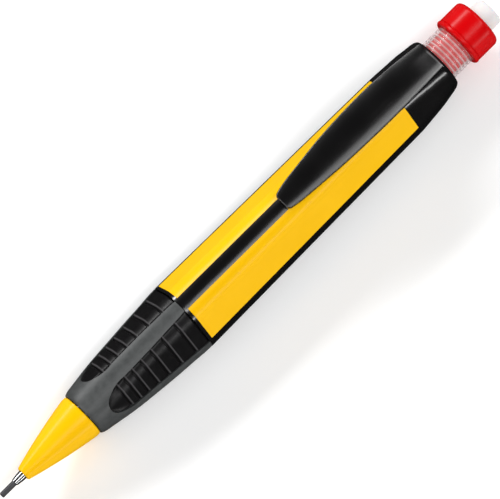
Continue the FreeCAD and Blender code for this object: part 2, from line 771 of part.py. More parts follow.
def collar():
    """Rear end of the barrel: rounded triangle to round rim, with a pocket for the clip's foot."""
    body = new_body("collar")
    loft(body, "collar_skin", skin_sections(body, "collar_section", COLLAR_SECTIONS))
    revolve(body, "collar_bore", [
        ("collar_front - 1", 0), ("collar_rear + 1", 0), ("collar_rear + 1", "tube_rad + 0.1"),
        ("collar_rear - 1.2", "tube_rad + 0.1"), ("collar_rear - 1.2", "rear_bore"),
        ("spigot_rear + 0.1", "rear_bore"), ("spigot_rear + 0.1", "spigot_rad + 0.04"),
        ("collar_front - 1", "spigot_rad + 0.04"),
    ], cut=True)
    sketch = new_sketch(body, "foot_pocket_outline", "XY_Plane", lift="foot_floor - foot_gap")
    outline(sketch, [
        ("foot_front - foot_gap", "-foot_half - foot_gap"),
        ("foot_rear + foot_gap", "-foot_half - foot_gap"),
        ("foot_rear + foot_gap", "foot_half + foot_gap"),
        ("foot_front - foot_gap", "foot_half + foot_gap"),
    ])
    doc.recompute()
    pocket(body, "foot_pocket", sketch, reverse=True)
    finish(body)


def block(body, name, front, rear, half, floor, top):
    """A straight-sided block standing on a level plane."""
    sketch = new_sketch(body, f"{name}_outline", "XY_Plane", lift=floor)
    outline(sketch, [(front, f"-{half}"), (rear, f"-{half}"), (rear, half), (front, half)])
    doc.recompute()
    feature = body.newObject("PartDesign::Pad", name)
    feature.Profile = sketch
    feature.Length = value(f"{top} - {floor}")
    feature.setExpression("Length", bound(f"{top} - {floor}"))
    return feature


def clip():
    """Arched crowned blade with a foot at the rear and a bump under its tip."""
    body = new_body("clip")
    sketches = []
    for k, (station, height, width) in enumerate(CLIP_SECTIONS):
        rise = value("clip_crown") * width / 8.75
        bow = (width * width / 4 + rise * rise) / (2 * rise)
        sketch = new_sketch(body, f"clip_section_{k}", "YZ_Plane", lift=station)
        outline(sketch, [
            (-width / 2, f"{height} - clip_thick"), (width / 2, f"{height} - clip_thick"),
            (width / 2, height, bow), (-width / 2, height),
        ])
        sketches.append(sketch)
    doc.recompute()
    loft(body, "clip_blade", sketches)
    block(body, "clip_foot", "foot_front", "foot_rear", "foot_half", "foot_floor", "foot_top")
    bump = block(body, "clip_bump", "bump_front", "bump_rear", "bump_half", "bump_floor", "10")
    doc.recompute()
    corners = []
    for k, edge in enumerate(body.Shape.Edges, start=1):
        box = edge.BoundBox
        if abs(box.XMax - CLIP_SECTIONS[0][0]) < 0.01 and box.ZLength > 0.8 and box.YLength < 0.05:
            corners.append(f"Edge{k}")
    rounding = body.newObject("PartDesign::Fillet", "tip_corners")
    rounding.Base = (bump, corners)
    rounding.Radius = value("tip_round")
    rounding.setExpression("Radius", bound("tip_round"))
    finish(body)


lead()
tip_sleeve()
lead_retainer()
nose_cone()
chuck()
clutch_ring()
clutch_sleeve()
return_spring()
chuck_coupler()
lead_reservoir()
refill_plug()
eraser_tube()
twist_cap()
eraser()
eraser_carrier()
for side in ("left", "right", "under"):
    panel(side)
barrel_core()
grip_shell()
for side in ("left", "right", "under"):
    finger_pad(side)
collar()
clip()
doc.recompute()

for item in doc.Objects:
    if "Invalid" in item.State or "Error" in item.State:
        raise RuntimeError(f"{item.Label} did not build: {item.State}")
for item in subparts:
    if item.Shape.isNull() or not item.Shape.isValid():
        raise RuntimeError(f"{item.Label} has no valid shape")

os.makedirs("parts", exist_ok=True)
for item in subparts:
    item.Shape.exportStep(f"parts/{item.Label}.step")
    print(item.Label, round(item.Shape.Volume, 2), len(item.Shape.Solids))
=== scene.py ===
import math

import bmesh
import bpy
from mathutils import Matrix, Vector


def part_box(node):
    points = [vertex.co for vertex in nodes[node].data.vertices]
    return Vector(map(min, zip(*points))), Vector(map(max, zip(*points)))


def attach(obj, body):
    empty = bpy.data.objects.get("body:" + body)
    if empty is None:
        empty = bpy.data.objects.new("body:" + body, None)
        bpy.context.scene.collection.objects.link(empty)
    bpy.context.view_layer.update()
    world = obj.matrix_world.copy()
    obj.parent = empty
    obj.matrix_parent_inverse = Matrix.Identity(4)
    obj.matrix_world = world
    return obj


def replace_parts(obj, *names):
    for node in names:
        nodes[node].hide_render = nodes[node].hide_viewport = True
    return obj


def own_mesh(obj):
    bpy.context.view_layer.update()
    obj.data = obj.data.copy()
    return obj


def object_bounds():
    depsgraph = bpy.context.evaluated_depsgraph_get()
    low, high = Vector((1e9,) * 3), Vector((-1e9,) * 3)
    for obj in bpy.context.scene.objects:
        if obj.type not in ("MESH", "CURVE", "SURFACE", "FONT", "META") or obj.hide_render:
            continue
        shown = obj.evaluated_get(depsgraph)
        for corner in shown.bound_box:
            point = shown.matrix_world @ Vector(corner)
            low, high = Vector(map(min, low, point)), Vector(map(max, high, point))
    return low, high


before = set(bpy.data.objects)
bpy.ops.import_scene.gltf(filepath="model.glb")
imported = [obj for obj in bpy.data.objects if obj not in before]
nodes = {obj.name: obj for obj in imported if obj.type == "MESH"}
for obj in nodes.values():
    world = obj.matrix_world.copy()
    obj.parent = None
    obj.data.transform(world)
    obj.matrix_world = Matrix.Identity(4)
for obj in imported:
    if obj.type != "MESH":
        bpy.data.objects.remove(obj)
cad_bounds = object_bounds()

# Lead: a stick of graphite and binder, extruded and fired, dark grey with a dull metal sheen.
# Fine drawn lines run along it.


def fine_grain():
    """Node group: drawn or moulded grain, as a colour mask, a roughness and a height."""
    group = bpy.data.node_groups.new("fine_grain", "ShaderNodeTree")
    for name, kind, start in (("Scale", "NodeSocketFloat", 1.0), ("Stretch", "NodeSocketVector", (1, 1, 1)),
                              ("Rough Low", "NodeSocketFloat", 0.3), ("Rough High", "NodeSocketFloat", 0.4)):
        socket = group.interface.new_socket(name=name, in_out="INPUT", socket_type=kind)
        socket.default_value = start
    for name in ("Mask", "Roughness", "Height"):
        group.interface.new_socket(name=name, in_out="OUTPUT", socket_type="NodeSocketFloat")
    links = group.links
    enter = group.nodes.new("NodeGroupInput")
    leave = group.nodes.new("NodeGroupOutput")
    place = group.nodes.new("ShaderNodeTexCoord")
    stretch = group.nodes.new("ShaderNodeVectorMath")
    stretch.operation = "MULTIPLY"
    fine = group.nodes.new("ShaderNodeTexNoise")
    fine.inputs["Detail"].default_value = 4
    broad = group.nodes.new("ShaderNodeTexNoise")
    broad.inputs["Detail"].default_value = 3
    lower = group.nodes.new("ShaderNodeMath")
    lower.operation = "MULTIPLY"
    lower.inputs[1].default_value = 0.11
    rough = group.nodes.new("ShaderNodeMapRange")
    rough.inputs["From Min"].default_value = 0.3
    rough.inputs["From Max"].default_value = 0.7
    links.new(place.outputs["Object"], stretch.inputs[0])
    links.new(enter.outputs["Stretch"], stretch.inputs[1])
    for noise in (fine, broad):
        links.new(stretch.outputs[0], noise.inputs["Vector"])
    links.new(enter.outputs["Scale"], fine.inputs["Scale"])
    links.new(enter.outputs["Scale"], lower.inputs[0])
    links.new(lower.outputs[0], broad.inputs["Scale"])
    links.new(broad.outputs["Fac"], rough.inputs["Value"])
    links.new(enter.outputs["Rough Low"], rough.inputs["To Min"])
    links.new(enter.outputs["Rough High"], rough.inputs["To Max"])
    links.new(broad.outputs["Fac"], leave.inputs["Mask"])
    links.new(rough.outputs[0], leave.inputs["Roughness"])
    links.new(fine.outputs["Fac"], leave.inputs["Height"])
    return group


def handling_marks():
    """Node group: faint hairlines and rubbed patches from handling, as one mask and one height."""
    group = bpy.data.node_groups.new("handling_marks", "ShaderNodeTree")
    amount = group.interface.new_socket(name="Amount", in_out="INPUT", socket_type="NodeSocketFloat")
    amount.default_value = 0.5
    for name in ("Mask", "Height"):
        group.interface.new_socket(name=name, in_out="OUTPUT", socket_type="NodeSocketFloat")
    links = group.links
    enter = group.nodes.new("NodeGroupInput")
    leave = group.nodes.new("NodeGroupOutput")
    place = group.nodes.new("ShaderNodeTexCoord")
    lines = []
    for turn, scale in ((0.35, 700), (-0.9, 520)):
        lay = group.nodes.new("ShaderNodeMapping")
        lay.inputs["Rotation"].default_value = (turn, 0.2, turn)
        lay.inputs["Scale"].default_value = (0.05, 1, 1)
        hair = group.nodes.new("ShaderNodeTexNoise")
        hair.inputs["Scale"].default_value = scale
        hair.inputs["Detail"].default_value = 5
        thin = group.nodes.new("ShaderNodeMapRange")
        thin.inputs["From Min"].default_value = 0.62
        thin.inputs["From Max"].default_value = 0.7
        links.new(place.outputs["Object"], lay.inputs["Vector"])
        links.new(lay.outputs[0], hair.inputs["Vector"])
        links.new(hair.outputs["Fac"], thin.inputs["Value"])
        lines.append(thin)
    patch = group.nodes.new("ShaderNodeTexNoise")
    patch.inputs["Scale"].default_value = 110
    patch.inputs["Detail"].default_value = 3
    rubbed = group.nodes.new("ShaderNodeMapRange")
    rubbed.inputs["From Min"].default_value = 0.5
    rubbed.inputs["From Max"].default_value = 0.72
    links.new(place.outputs["Object"], patch.inputs["Vector"])
    links.new(patch.outputs["Fac"], rubbed.inputs["Value"])
    both = group.nodes.new("ShaderNodeMath")
    both.operation = "MAXIMUM"
    links.new(lines[0].outputs[0], both.inputs[0])
    links.new(lines[1].outputs[0], both.inputs[1])
    where = group.nodes.new("ShaderNodeMath")
    where.operation = "MULTIPLY"
    links.new(both.outputs[0], where.inputs[0])
    links.new(rubbed.outputs[0], where.inputs[1])
    shown = group.nodes.new("ShaderNodeMath")
    shown.operation = "MULTIPLY"
    links.new(where.outputs[0], shown.inputs[0])
    links.new(enter.outputs["Amount"], shown.inputs[1])
    fall = group.nodes.new("ShaderNodeMath")
    fall.operation = "MULTIPLY"
    fall.inputs[1].default_value = -1
    links.new(shown.outputs[0], fall.inputs[0])
    links.new(shown.outputs[0], leave.inputs["Mask"])
    links.new(fall.outputs[0], leave.inputs["Height"])
    return group


grain_group = fine_grain()
marks_group = handling_marks()


def grained(name, dark, light, scale, stretch, rough, bump, depth, marks=0.0, wear_and_highlight=0.18, **sockets):
    """A material whose colour, roughness and bump come from the grain group, with handling marks that dull
    it; sockets are plain numbers."""
    material = bpy.data.materials.new(name)
    material.use_nodes = True
    tree = material.node_tree
    shader = tree.nodes["Principled BSDF"]
    grain = tree.nodes.new("ShaderNodeGroup")
    grain.node_tree = grain_group
    grain.inputs["Scale"].default_value = scale
    grain.inputs["Stretch"].default_value = stretch
    grain.inputs["Rough Low"].default_value = rough[0]
    grain.inputs["Rough High"].default_value = rough[1]
    shade = tree.nodes.new("ShaderNodeMix")
    shade.data_type = "RGBA"
    shade.inputs["A"].default_value = (*dark, 1)
    shade.inputs["B"].default_value = (*light, 1)
    relief = tree.nodes.new("ShaderNodeBump")
    relief.inputs["Strength"].default_value = bump
    relief.inputs["Distance"].default_value = depth
    scuffs = tree.nodes.new("ShaderNodeGroup")
    scuffs.node_tree = marks_group
    scuffs.inputs["Amount"].default_value = marks
    dulled = tree.nodes.new("ShaderNodeMath")
    dulled.operation = "MULTIPLY_ADD"
    dulled.inputs[1].default_value = wear_and_highlight
    height = tree.nodes.new("ShaderNodeMath")
    height.operation = "MULTIPLY_ADD"
    height.inputs[1].default_value = 2
    tree.links.new(grain.outputs["Mask"], shade.inputs["Factor"])
    tree.links.new(shade.outputs["Result"], shader.inputs["Base Color"])
    tree.links.new(scuffs.outputs["Mask"], dulled.inputs[0])
    tree.links.new(grain.outputs["Roughness"], dulled.inputs[2])
    tree.links.new(dulled.outputs[0], shader.inputs["Roughness"])
    tree.links.new(scuffs.outputs["Height"], height.inputs[0])
    tree.links.new(grain.outputs["Height"], height.inputs[2])
    tree.links.new(height.outputs[0], relief.inputs["Height"])
    tree.links.new(relief.outputs["Normal"], shader.inputs["Normal"])
    for socket, number in sockets.items():
        shader.inputs[socket.replace("_", " ").title().replace("Ior", "IOR")].default_value = number
    return material


def finish_in(material, *names):
    """Give CAD nodes their finish."""
    for name in names:
        mesh = nodes[name].data
        for place in range(max(1, len(mesh.materials))):
            if place < len(mesh.materials):
                mesh.materials[place] = material
            else:
                mesh.materials.append(material)


graphite = grained("graphite", (0.035, 0.034, 0.038), (0.085, 0.083, 0.09), 6000, (0.08, 1, 1),
                   (0.32, 0.48), 0.35, 0.00003, metallic=0.55)
finish_in(graphite, "lead")

# Tip sleeve: turned steel, chromium plated, pressed into the nose.
# Rings left by the lathe run round it under the plating.
chrome = grained("chrome", (0.42, 0.42, 0.43), (0.6, 0.6, 0.61), 9000, (1, 0.15, 0.15),
                 (0.12, 0.2), 0.06, 0.00002, metallic=1.0)
finish_in(chrome, "tip_sleeve")

# Nose cone: yellow ABS, injection moulded in a polished tool, and screwed onto the barrel's threaded neck.
# Its plastic is the same as the panels'.
yellow_plastic = grained("yellow_plastic", (0.92, 0.5, 0.0), (0.98, 0.55, 0.0), 1400, (0.6, 1, 1),
                         (0.3, 0.38), 0.03, 0.00002, marks=0.5, specular_ior_level=0.1, coat_weight=0.12,
                         coat_roughness=0.2)
finish_in(yellow_plastic, "nose_cone")

# Lead retainer: a small black rubber ring, pushed into the nose.
# It drags on the lead, so that the lead doesn't slide back as the chuck opens.
black_rubber = grained("black_rubber", (0.002, 0.0018, 0.002), (0.005, 0.0045, 0.005), 9000, (1, 1, 1),
                       (0.32, 0.4), 0.25, 0.00003, marks=0.4, specular_ior_level=0.28)
finish_in(black_rubber, "lead_retainer")
# where a mesh marks the rear slope of each rib groove, the rubber there is painted a lighter grey: a painted
# highlight
rubber_tree = black_rubber.node_tree
rubber_shader = rubber_tree.nodes["Principled BSDF"]
rubber_shade = rubber_shader.inputs["Base Color"].links[0].from_socket
rib_highlight = rubber_tree.nodes.new("ShaderNodeAttribute")
rib_highlight.attribute_name = "rib_highlight"
highlight_grey = rubber_tree.nodes.new("ShaderNodeMix")
highlight_grey.data_type = "RGBA"
highlight_grey.inputs["B"].default_value = (0.085, 0.082, 0.085, 1)
rubber_tree.links.new(rib_highlight.outputs["Fac"], highlight_grey.inputs["Factor"])
rubber_tree.links.new(rubber_shade, highlight_grey.inputs["A"])
rubber_tree.links.new(highlight_grey.outputs["Result"], rubber_shader.inputs["Base Color"])

# Clutch: a brass chuck split into three jaws, its ring, and the seat that the ring is pulled against.
# All are turned from bar.
brass = grained("brass", (0.62, 0.42, 0.14), (0.8, 0.58, 0.25), 7000, (1, 0.1, 0.1),
                (0.18, 0.3), 0.15, 0.00002, metallic=1.0)
finish_in(brass, "chuck", "clutch_ring", "clutch_sleeve")

# Return spring: drawn steel wire, coiled round the chuck's stem, with a closed turn at each end. It closes up
# as the button is pressed, and pushes the coupler back when the button is let go.
spring_steel = grained("spring_steel", (0.42, 0.42, 0.43), (0.6, 0.6, 0.6), 8000, (1, 1, 1),
                       (0.22, 0.34), 0.12, 0.00002, metallic=1.0)
spring_low, spring_high = (Vector(corner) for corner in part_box("return_spring"))
wire_radius = 0.00017
closed_turns = 1
open_turns = 6
closed_pitch = 2.1 * wire_radius
steps_per_turn = 36
wire_sides = 10
coil_radius = (spring_high.y - spring_low.y) / 2 - wire_radius
coil_height = (spring_high.z + spring_low.z) / 2
coil_length = spring_high.x - spring_low.x - 2 * wire_radius
open_pitch = (coil_length - 2 * closed_turns * closed_pitch) / open_turns
wire = bmesh.new()
wire_rings = []
for k in range((2 * closed_turns + open_turns) * steps_per_turn + 1):
    turns = k / steps_per_turn
    turns_open = min(max(turns - closed_turns, 0), open_turns)
    along = closed_pitch * (turns - turns_open) + open_pitch * turns_open
    spoke = Vector((0, math.cos(2 * math.pi * turns), math.sin(2 * math.pi * turns)))
    centre = Vector((spring_low.x + wire_radius + along, 0, coil_height)) + spoke * coil_radius
    ring = []
    for n in range(wire_sides):
        around = 2 * math.pi * n / wire_sides
        sideways = Vector((wire_radius * math.sin(around), 0, 0))
        ring.append(wire.verts.new(centre + spoke * (wire_radius * math.cos(around)) + sideways))
    wire_rings.append(ring)
for first, second in zip(wire_rings, wire_rings[1:]):
    for k in range(wire_sides):
        n = (k + 1) % wire_sides
        wire.faces.new((first[k], first[n], second[n], second[k]))
wire.faces.new(list(reversed(wire_rings[0])))
wire.faces.new(wire_rings[-1])
bmesh.ops.recalc_face_normals(wire, faces=wire.faces)
spring_mesh = bpy.data.meshes.new("coiled_spring")
wire.to_mesh(spring_mesh)
wire.free()
spring_mesh.shade_smooth()
coiled_spring = bpy.data.objects.new("coiled_spring", spring_mesh)
bpy.context.collection.objects.link(coiled_spring)
spring_mesh.materials.append(spring_steel)
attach(coiled_spring, "barrel")
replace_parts(coiled_spring, "return_spring")
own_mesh(coiled_spring)

# Reservoir: a tube of translucent white polypropylene that holds the spare leads, pushed onto the coupler.
# The carrier that holds the eraser is moulded in the same plastic.
white_plastic = grained("white_plastic", (0.74, 0.74, 0.72), (0.84, 0.84, 0.82), 1800, (1, 1, 1),
                        (0.3, 0.42), 0.08, 0.00002, subsurface_weight=0.2, subsurface_scale=0.001)
finish_in(white_plastic, "lead_reservoir", "eraser_carrier")

# Barrel core: gloss black ABS. It shows as the ridge under the clip, the lower corners and the ring behind
# the grip. The collar, coupler, plug and clip are the same plastic.
black_plastic = grained("black_plastic", (0.0016, 0.0015, 0.0017), (0.003, 0.0028, 0.003), 1400, (0.6, 1, 1),
                        (0.15, 0.2), 0.03, 0.00002, marks=0.6, specular_ior_level=1.0)
finish_in(black_plastic, "barrel_core", "collar", "chuck_coupler", "refill_plug")

# Panels: three thin skins in the nose cone's yellow ABS.
# Each is laid in a recess of the barrel's face and bonded.
finish_in(yellow_plastic, "panel_left", "panel_right", "panel_under")

# Grip: a charcoal frame with a fine spark-eroded texture, slid over the barrel's front, and three soft black
# rubber pads moulded into its windows, with grooves across them for the fingers.
charcoal = grained("charcoal_plastic", (0.035, 0.037, 0.037), (0.075, 0.08, 0.08), 7000, (1, 1, 1),
                   (0.4, 0.5), 0.4, 0.00004, marks=0.3, wear_and_highlight=0.1, specular_ior_level=0.5)
finish_in(charcoal, "grip_shell")


def smooth_step(low, high, number):
    """0 below low, 1 above high, and an easy curve between."""
    share = min(1.0, max(0.0, (number - low) / (high - low)))
    return share * share * (3 - 2 * share)


def between(table, station):
    """Values of a table of rows that start with a station, on a smooth curve through the rows."""
    station = min(max(station, table[0][0]), table[-1][0])
    k = 0
    while k < len(table) - 2 and station > table[k + 1][0]:
        k += 1
    before, after = table[max(k - 1, 0)], table[min(k + 2, len(table) - 1)]
    here, there = table[k], table[k + 1]
    span = there[0] - here[0]
    t = (station - here[0]) / span
    out = []
    for c in range(1, len(here)):
        leave = (there[c] - before[c]) / (there[0] - before[0]) * span
        arrive = (after[c] - here[c]) / (after[0] - here[0]) * span
        out.append((2 * t**3 - 3 * t**2 + 1) * here[c] + (t**3 - 2 * t**2 + t) * leave
                   + (3 * t**2 - 2 * t**3) * there[c] + (t**3 - t**2) * arrive)
    return out


# millimetres: stations from the lead's tip, and the grip's rounded triangle there (spread of the corner
# centres, corner radius)
half_length = 74.0
mm = 0.001
grip_sections = [
    (24.6, 0.25, 5.24), (25.2, 0.3, 5.5), (26.8, 0.5, 5.65), (30.0, 1.1, 5.64), (34.0, 2.0, 5.41),
    (38.0, 2.75, 5.14), (42.0, 3.2, 5.09), (46.0, 3.45, 5.18), (50.2, 3.6, 5.32), (54.5, 3.7, 5.45),
]
axis_mm = 7.36
pad_rear = 54.4
pad_shoulder = 36.0
pad_tip = 29.0
pad_floor = 5.4
rib_grooves = (33.0, 35.3, 37.6, 40.3, 43.3, 46.8, 50.8)
groove_depth = 0.5


def skin_height(station, lean, across):
    """Height of the grip's skin over the axis, measured along a direction that leans from straight up."""
    spread, corner = between(grip_sections, station)
    points = [Vector((spread * math.cos(a), spread * math.sin(a))) for a in map(math.radians, (90, 210, 330))]
    tilt = math.radians(lean)
    # (across, up) of the sloping frame in the (y, z) plane of the section
    side = Vector((math.cos(tilt), math.sin(tilt)))
    out = Vector((-math.sin(tilt), math.cos(tilt)))
    low, high = 0.0, 12.0
    for _ in range(22):
        middle_height = (low + high) / 2
        spot = side * across + out * middle_height
        inside = all((points[(k + 1) % 3] - points[k]).cross(spot - points[k]) >= 0 for k in range(3))
        gap = 0.0
        if not inside:
            gap = 100.0
            for k in range(3):
                edge = points[(k + 1) % 3] - points[k]
                share = min(1.0, max(0.0, (spot - points[k]).dot(edge) / edge.dot(edge)))
                gap = min(gap, (spot - points[k] - edge * share).length)
        if gap > corner:
            high = middle_height
        else:
            low = middle_height
    return low


def pad_edges(station, rear_edges, nose_edges):
    """The pad's two edges at a station: nearly straight at the rear, drawn in to a round nose."""
    middle_line = (nose_edges[0] + nose_edges[1]) / 2
    half = (nose_edges[1] - nose_edges[0]) / 2
    if station >= pad_shoulder:
        share = (station - pad_shoulder) / (pad_rear - pad_shoulder)
        return (nose_edges[0] + (rear_edges[0] - nose_edges[0]) * share,
                nose_edges[1] + (rear_edges[1] - nose_edges[1]) * share)
    shoulder_half = 0.7 * half
    if station >= pad_tip + 2:
        share = (pad_shoulder - station) / (pad_shoulder - pad_tip - 2)
        reach_out = half - (half - shoulder_half) * share ** 1.5
    else:
        round_nose = (shoulder_half ** 2 + 4) / 4
        reach_out = math.sqrt(max(round_nose ** 2 - (pad_tip + round_nose - station) ** 2, 0))
    return middle_line - reach_out, middle_line + reach_out


def groove_at(station):
    """Depth of the rib grooves: a steep front wall and an easier rear wall."""
    deep = 0.0
    for groove in rib_grooves:
        away = station - groove
        if -0.26 < away < 0.62:
            fall = smooth_step(-0.26, -0.04, away) * (1 - smooth_step(0.08, 0.62, away))
            deep = max(deep, fall)
    return deep * groove_depth


def ribbed_pad(name, lean, rear_edges, nose_edges):
    """A rubber pad with ribs across it, soft edges all round and a scooped nose."""
    tilt = math.radians(lean)
    side = Vector((0, math.cos(tilt), math.sin(tilt)))
    out = Vector((0, -math.sin(tilt), math.cos(tilt)))
    shape = bmesh.new()
    loops = []
    station = pad_tip + 0.02
    stations = []
    while station < pad_rear - 0.001:
        stations.append(station)
        near = min(abs(station - groove - 0.15) for groove in rib_grooves)
        station += 0.07 if near < 0.65 or station < pad_tip + 0.5 else 0.16
    stations.append(pad_rear)
    columns = 44
    soft = 0.42
    for station in stations:
        left, right_edge = pad_edges(station, rear_edges, nose_edges)
        wide = right_edge - left
        scoop = 0.5 * (1 - smooth_step(pad_tip + 0.4, pad_tip + 5.5, station))
        end = 0.0
        if station > pad_rear - soft:
            end = soft - math.sqrt(max(soft ** 2 - (station - pad_rear + soft) ** 2, 0))
        loop = []
        for k in range(columns + 1):
            # points crowd towards the two edges
            share = 0.5 - 0.5 * math.cos(math.pi * k / columns)
            across = left + wide * share
            inset = min(across - left, right_edge - across)
            edge = 0.0
            if inset < soft:
                edge = soft - math.sqrt(max(soft ** 2 - (soft - inset) ** 2, 0))
            dish = scoop * (1 - (2 * share - 1) ** 4)
            height = skin_height(station, lean, across) - 0.06 - max(edge, end) - groove_at(station) - dish
            height = max(height, pad_floor + 0.05)
            loop.append(out * height + side * across + Vector((station - half_length, 0, axis_mm)))
        for across in (right_edge, left):
            loop.append(out * pad_floor + side * across + Vector((station - half_length, 0, axis_mm)))
        loops.append([shape.verts.new(point * mm) for point in loop])
    for first, second in zip(loops, loops[1:]):
        for k in range(len(first)):
            n = (k + 1) % len(first)
            shape.faces.new((first[k], first[n], second[n], second[k]))
    shape.faces.new(list(reversed(loops[0])))
    shape.faces.new(loops[-1])
    bmesh.ops.recalc_face_normals(shape, faces=shape.faces)
    mesh = bpy.data.meshes.new(name)
    shape.to_mesh(mesh)
    shape.free()
    mesh.shade_smooth()
    # painted highlight: a lighter band on the rear slope of each groove, where light catches the ribs
    wear_and_highlight = mesh.attributes.new("rib_highlight", "FLOAT", "POINT")
    for vert, mark in zip(mesh.vertices, wear_and_highlight.data):
        station = vert.co.x / mm + half_length
        for groove in rib_grooves:
            away = station - groove
            mark.value = max(mark.value, smooth_step(0.26, 0.46, away) * (1 - smooth_step(0.5, 0.74, away)))
    piece = bpy.data.objects.new(name, mesh)
    bpy.context.collection.objects.link(piece)
    mesh.materials.append(black_rubber)
    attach(piece, "barrel")
    return piece


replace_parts(ribbed_pad("ribbed_pad_right", 52, (-4.9, 6.15), (-3.4, 4.5)), "finger_pad_right")
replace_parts(ribbed_pad("ribbed_pad_left", -52, (-6.15, 4.9), (-4.5, 3.4)), "finger_pad_left")
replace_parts(ribbed_pad("ribbed_pad_under", 180, (-5.0, 5.0), (-3.9, 3.9)), "finger_pad_under")

# Clip: gloss black ABS, one moulding with the foot that snaps into the collar. Its outer face is crowned and
# its edges are rounded, and a bump under the tip holds the pocket's cloth.
clip_sections = [
    (85.3, 10.5, 4.2), (88.5, 10.95, 5.5), (93.0, 11.45, 6.5), (100.0, 12.15, 7.8), (107.0, 12.5, 8.5),
    (113.0, 12.45, 8.75), (119.0, 12.1, 8.6), (125.0, 11.2, 8.05), (130.7, 9.8, 7.3),
]
clip_thick = 0.95
clip_crown = 0.65
crown_width = 8.75
edge_round = 0.3
under_round = 0.12


def clip_loop(station, shrink, draw_in):
    """A closed section of the blade: crowned top, rounded edges, flat underside."""
    height, width = between(clip_sections, station)
    half = width / 2 - draw_in
    rise = clip_crown * width / crown_width
    round_off = min(edge_round, half * 0.5)
    flat = half - round_off
    loop = []
    for k in range(-12, 13):
        across = flat * math.sin(k / 12 * math.pi / 2)
        loop.append((across, height + rise * (1 - (2 * across / width) ** 2)))
    top_edge = height + rise * (1 - (2 * flat / width) ** 2) - round_off
    for k in range(1, 7):
        turn = math.pi / 2 * (1 - k / 6)
        loop.append((flat + round_off * math.cos(turn), top_edge + round_off * math.sin(turn)))
    low_edge = height - clip_thick + under_round
    inner = half - under_round
    for k in range(5):
        turn = -math.pi / 2 * k / 4
        loop.append((inner + under_round * math.cos(turn), low_edge + under_round * math.sin(turn)))
    for k in range(1, 8):
        loop.append((inner * (1 - 2 * k / 8), height - clip_thick))
    for k in range(5):
        turn = -math.pi / 2 - math.pi / 2 * k / 4
        loop.append((-inner + under_round * math.cos(turn), low_edge + under_round * math.sin(turn)))
    for k in range(6):
        turn = math.pi - math.pi / 2 * k / 6
        loop.append((-flat + round_off * math.cos(turn), top_edge + round_off * math.sin(turn)))
    centre = height - clip_thick / 2
    return [Vector((station - half_length, across, axis_mm + centre + (up - centre) * (1 - shrink)))
            for across, up in loop]


def rounded_block(shape, low_corner, high_corner, bevel):
    """A block with softened edges, added to a mesh under construction."""
    made = bmesh.ops.create_cube(shape, size=1)["verts"]
    size = Vector(high_corner) - Vector(low_corner)
    centre = (Vector(high_corner) + Vector(low_corner)) / 2
    for vert in made:
        vert.co = Vector((vert.co.x * size.x, vert.co.y * size.y, vert.co.z * size.z)) + centre
    edges = list({edge for vert in made for edge in vert.link_edges})
    bmesh.ops.bevel(shape, geom=edges, offset=bevel, segments=3, affect="EDGES", profile=0.5)


blade = bmesh.new()
clip_tip, clip_rear = clip_sections[0][0], clip_sections[-1][0]
corner_round = 0.9
rear_round = 0.25
blade_rows = 90
rows = []
for k in range(9):
    turn = math.pi / 2 * (1 - k / 8)
    rows.append((clip_tip + corner_round * (1 - math.sin(turn)), 0.5 * (1 - math.cos(turn * 0.999)) ** 3,
                 corner_round * (1 - math.cos(turn))))
straight = clip_rear - clip_tip - corner_round - rear_round
rows += [(clip_tip + corner_round + straight * k / blade_rows, 0, 0) for k in range(1, blade_rows + 1)]
for k in range(1, 6):
    turn = math.pi / 2 * k / 5
    drawn_in = rear_round * (1 - math.cos(turn))
    rows.append((clip_rear - rear_round * (1 - math.sin(turn)), drawn_in, drawn_in))
loops = [[blade.verts.new(point * mm) for point in clip_loop(*row)] for row in rows]
for first, second in zip(loops, loops[1:]):
    for k in range(len(first)):
        n = (k + 1) % len(first)
        blade.faces.new((first[k], first[n], second[n], second[k]))
blade.faces.new(list(reversed(loops[0])))
blade.faces.new(loops[-1])
# front, rear, half width, bottom and top over the axis, and edge radius
snap_foot = (124.9, 129.1, 2.3, 6.2, 10.1, 0.2)
pocket_bump = (86.2, 88.8, 1.1, 9.05, 10.0, 0.3)
for front, rear, half_wide, bottom, top, soft_edge in (snap_foot, pocket_bump):
    rounded_block(blade, [c * mm for c in (front - half_length, -half_wide, axis_mm + bottom)],
                  [c * mm for c in (rear - half_length, half_wide, axis_mm + top)], soft_edge * mm)
bmesh.ops.recalc_face_normals(blade, faces=blade.faces)
clip_mesh = bpy.data.meshes.new("clip_moulding")
blade.to_mesh(clip_mesh)
blade.free()
clip_mesh.shade_smooth()
clip_mesh.set_sharp_from_angle(angle=math.radians(40))
clip_moulding = bpy.data.objects.new("clip_moulding", clip_mesh)
bpy.context.collection.objects.link(clip_moulding)
clip_mesh.materials.append(black_plastic)
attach(clip_moulding, "clip")
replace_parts(clip_moulding, "clip")

# Eraser tube: clear styrene, one moulding with a screw thread inside for the carrier's lugs.
# It pulls out of the barrel with the cap, to refill the leads.
thread_pitch = 0.001
bands_per_unit = 20
clear_plastic = bpy.data.materials.new("clear_plastic")
clear_plastic.use_nodes = True
clear_tree = clear_plastic.node_tree
clear_shader = clear_tree.nodes["Principled BSDF"]
clear_shader.inputs["Base Color"].default_value = (0.97, 0.97, 0.97, 1)
clear_shader.inputs["Transmission Weight"].default_value = 0.6
clear_shader.inputs["IOR"].default_value = 1.45
clear_grain = clear_tree.nodes.new("ShaderNodeGroup")
clear_grain.node_tree = grain_group
clear_grain.inputs["Scale"].default_value = 900
clear_grain.inputs["Rough Low"].default_value = 0.02
clear_grain.inputs["Rough High"].default_value = 0.05
clear_place = clear_tree.nodes.new("ShaderNodeTexCoord")
thread_rings = clear_tree.nodes.new("ShaderNodeTexWave")
thread_rings.bands_direction = "X"
thread_rings.inputs["Scale"].default_value = 2 * math.pi / (bands_per_unit * thread_pitch)
thread_relief = clear_tree.nodes.new("ShaderNodeBump")
thread_relief.inputs["Strength"].default_value = 0.35
thread_relief.inputs["Distance"].default_value = 0.0001
clear_tree.links.new(clear_place.outputs["Object"], thread_rings.inputs["Vector"])
